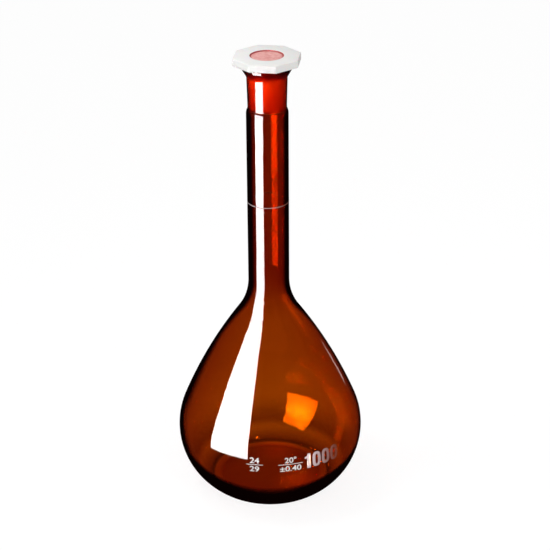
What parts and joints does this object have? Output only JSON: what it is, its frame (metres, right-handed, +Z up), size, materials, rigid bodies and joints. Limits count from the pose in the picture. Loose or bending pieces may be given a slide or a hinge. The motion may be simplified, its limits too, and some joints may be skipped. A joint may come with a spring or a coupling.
{
  "type": "volumetric flask",
  "caption": "Amber glass volumetric flask with a pear-shaped bulb, long marked neck, ground tapered socket and a lift-off octagonal plastic stopper with a coloured disc in its head.",
  "frame": {"origin": "centre of the standing ring, on the plane that the flask stands on", "axes": "+Z up along the axis of bulb, neck and stopper; the picture looks along +Y, with +X to its right"},
  "size_m": [0.1252, 0.1252, 0.3066],
  "materials": {
    "amber_glass": "clear amber borosilicate, ground inside the socket",
    "white_enamel": "fired enamel line",
    "white_polyethylene": "satin moulded polyethylene, slightly translucent",
    "red_plastic": "matte moulded plastic"
  },
  "bodies": {
    "vessel": {"flask": "amber_glass", "ring_mark": "white_enamel"},
    "closure": {"stopper": "white_polyethylene", "stopper_disc": "red_plastic"}
  },
  "joints": [
    {"name": "stopper_lift", "type": "slide", "parent": "vessel", "child": "closure", "axis": [0, 0, 1], "range_m": [0, 0.1]}
  ]
}
